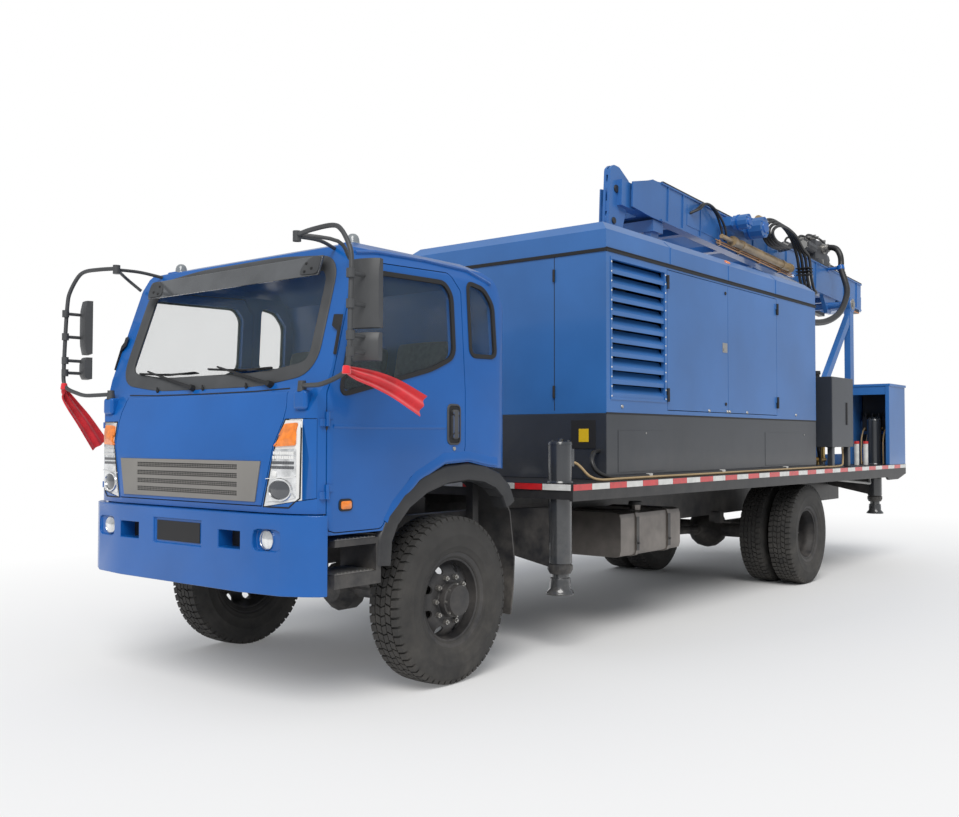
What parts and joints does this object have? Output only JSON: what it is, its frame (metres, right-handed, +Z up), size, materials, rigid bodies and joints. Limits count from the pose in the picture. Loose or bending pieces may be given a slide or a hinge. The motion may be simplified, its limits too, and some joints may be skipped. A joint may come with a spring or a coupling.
{
  "type": "water well drilling rig",
  "caption": "Truck-mounted water well drilling rig: cab, compressor under a canopy, stabiliser jacks and a hinged mast with a sliding rotary head.",
  "frame": {"origin": "middle of the whole rig's box, on the ground", "axes": "+X forwards along the truck, +Y to its left, +Z up"},
  "size_m": [11.6288, 2.93, 4.3194],
  "materials": {
    "cab_paint": "gloss",
    "rig_paint": "satin",
    "chassis_black": "satin",
    "charcoal_paint": "satin",
    "cab_glass": "polished",
    "grey_plastic": "matte",
    "bright_metal": "polished",
    "tank_steel": "brushed",
    "tan_paint": "satin",
    "tyre_rubber": "matte"
  },
  "bodies": {
    "root": {"chassis_frame": "chassis_black", "deck": "chassis_black", "cab_shell": "cab_paint", "windscreen": "cab_glass", "quarter_glass_left": "cab_glass", "quarter_glass_right": "cab_glass", "dashboard": "grey_plastic", "seats": "grey_plastic", "headlamp_left": "bright_metal", "headlamp_right": "bright_metal", "bumper": "cab_paint", "mirror_left": "grey_plastic", "mirror_right": "grey_plastic", "sun_visor": "grey_plastic", "mudguard_left": "chassis_black", "mudguard_right": "chassis_black", "fuel_tank": "tank_steel", "battery_box": "chassis_black", "engine": "chassis_black", "front_axle": "chassis_black", "rear_axle": "chassis_black", "compressor_base": "charcoal_paint", "compressor_canopy": "rig_paint", "compressor_unit": "charcoal_paint", "oil_tank": "charcoal_paint", "control_cabinet": "rig_paint", "mast_pedestal": "rig_paint"},
    "knuckle_left": {"knuckle_left": "chassis_black"},
    "wheel_front_left": {"tyre_front_left": "tyre_rubber", "rim_front_left": "chassis_black"},
    "wheel_rear_left": {"tyre_rear_left_outer": "tyre_rubber", "tyre_rear_left_inner": "tyre_rubber", "rim_rear_left": "chassis_black"},
    "door_left": {"door_left": "cab_paint", "door_glass_left": "cab_glass"},
    "canopy_door_front_left": {"canopy_door_front_left": "rig_paint"},
    "canopy_door_rear_left": {"canopy_door_rear_left": "rig_paint"},
    "knuckle_right": {"knuckle_right": "chassis_black"},
    "wheel_front_right": {"tyre_front_right": "tyre_rubber", "rim_front_right": "chassis_black"},
    "wheel_rear_right": {"tyre_rear_right_outer": "tyre_rubber", "tyre_rear_right_inner": "tyre_rubber", "rim_rear_right": "chassis_black"},
    "door_right": {"door_right": "cab_paint", "door_glass_right": "cab_glass"},
    "canopy_door_front_right": {"canopy_door_front_right": "rig_paint"},
    "canopy_door_rear_right": {"canopy_door_rear_right": "rig_paint"},
    "front_flap": {"front_flap": "cab_paint", "grille": "grey_plastic"},
    "jack_leg_front_left": {"jack_leg_front_left": "charcoal_paint"},
    "jack_leg_front_right": {"jack_leg_front_right": "charcoal_paint"},
    "jack_leg_rear_left": {"jack_leg_rear_left": "charcoal_paint"},
    "jack_leg_rear_right": {"jack_leg_rear_right": "charcoal_paint"},
    "mast": {"mast": "rig_paint", "feed_cylinder": "tan_paint"},
    "rotary_head": {"rotary_head": "grey_plastic"},
    "lift_barrels": {"lift_barrels": "rig_paint"},
    "lift_rods": {"lift_rod_left": "bright_metal", "lift_rod_right": "bright_metal"}
  },
  "joints": [
    {"name": "steering_left", "type": "hinge", "parent": "root", "child": "knuckle_left", "pos_m": [4.55243, 0.88, 0.525], "axis": [0, 0, 1], "range_deg": [-35, 35]},
    {"name": "wheel_front_left_spin", "type": "hinge", "parent": "knuckle_left", "child": "wheel_front_left", "pos_m": [4.55243, 0.995, 0.525], "axis": [0, 1, 0], "continuous": true},
    {"name": "wheel_rear_left_spin", "type": "hinge", "parent": "root", "child": "wheel_rear_left", "pos_m": [-1.23257, 0.888, 0.525], "axis": [0, 1, 0], "continuous": true},
    {"name": "door_left_swing", "type": "hinge", "parent": "root", "child": "door_left", "pos_m": [5.61243, 1.096, 1.5], "axis": [0, 0, -1], "range_deg": [0, 65]},
    {"name": "canopy_door_front_left_swing", "type": "hinge", "parent": "root", "child": "canopy_door_front_left", "pos_m": [1.67743, 1.0714, 2.4], "axis": [0, 0, -1], "range_deg": [0, 110]},
    {"name": "canopy_door_rear_left_swing", "type": "hinge", "parent": "root", "child": "canopy_door_rear_left", "pos_m": [-0.66657, 1.0714, 2.4], "axis": [0, 0, 1], "range_deg": [0, 110]},
    {"name": "steering_right", "type": "hinge", "parent": "root", "child": "knuckle_right", "pos_m": [4.55243, -0.88, 0.525], "axis": [0, 0, 1], "range_deg": [-35, 35]},
    {"name": "wheel_front_right_spin", "type": "hinge", "parent": "knuckle_right", "child": "wheel_front_right", "pos_m": [4.55243, -0.995, 0.525], "axis": [0, 1, 0], "continuous": true},
    {"name": "wheel_rear_right_spin", "type": "hinge", "parent": "root", "child": "wheel_rear_right", "pos_m": [-1.23257, -0.888, 0.525], "axis": [0, 1, 0], "continuous": true},
    {"name": "door_right_swing", "type": "hinge", "parent": "root", "child": "door_right", "pos_m": [5.61243, -1.096, 1.5], "axis": [0, 0, 1], "range_deg": [0, 65]},
    {"name": "canopy_door_front_right_swing", "type": "hinge", "parent": "root", "child": "canopy_door_front_right", "pos_m": [1.67743, -1.0714, 2.4], "axis": [0, 0, 1], "range_deg": [0, 110]},
    {"name": "canopy_door_rear_right_swing", "type": "hinge", "parent": "root", "child": "canopy_door_rear_right", "pos_m": [-0.66657, -1.0714, 2.4], "axis": [0, 0, -1], "range_deg": [0, 110]},
    {"name": "front_flap_lift", "type": "hinge", "parent": "root", "child": "front_flap", "pos_m": [5.64143, 0, 1.8], "axis": [0, -1, 0], "range_deg": [0, 80]},
    {"name": "jack_front_left_extend", "type": "slide", "parent": "root", "child": "jack_leg_front_left", "axis": [0, 0, -1], "range_m": [0, 0.6]},
    {"name": "jack_front_right_extend", "type": "slide", "parent": "root", "child": "jack_leg_front_right", "axis": [0, 0, -1], "range_m": [0, 0.6]},
    {"name": "jack_rear_left_extend", "type": "slide", "parent": "root", "child": "jack_leg_rear_left", "axis": [0, 0, -1], "range_m": [0, 0.7]},
    {"name": "jack_rear_right_extend", "type": "slide", "parent": "root", "child": "jack_leg_rear_right", "axis": [0, 0, -1], "range_m": [0, 0.7]},
    {"name": "mast_raise", "type": "hinge", "parent": "root", "child": "mast", "pos_m": [-4.34757, 0, 3.35], "axis": [0, -1, 0], "range_deg": [0, 87]},
    {"name": "head_feed", "type": "slide", "parent": "mast", "child": "rotary_head", "axis": [0.9986, 0, 0.0523], "range_m": [0, 3.6]},
    {"name": "lift_barrels_tilt", "type": "hinge", "parent": "root", "child": "lift_barrels", "pos_m": [-3.06757, 0, 1.58], "axis": [0, -1, 0], "range_deg": [0, 21.4]},
    {"name": "lift_rods_extend", "type": "slide", "parent": "lift_barrels", "child": "lift_rods", "axis": [-0.1186, 0, 0.9929], "range_m": [0, 1.156]}
  ],
  "couplings": [
    {"joint": "steering_right", "follows": "steering_left", "ratio": 1},
    {"joint": "lift_barrels_tilt", "follows": "mast_raise", "ratio": 0.23998},
    {"joint": "lift_rods_extend", "follows": "mast_raise", "m_per_rad": 0.75453}
  ]
}
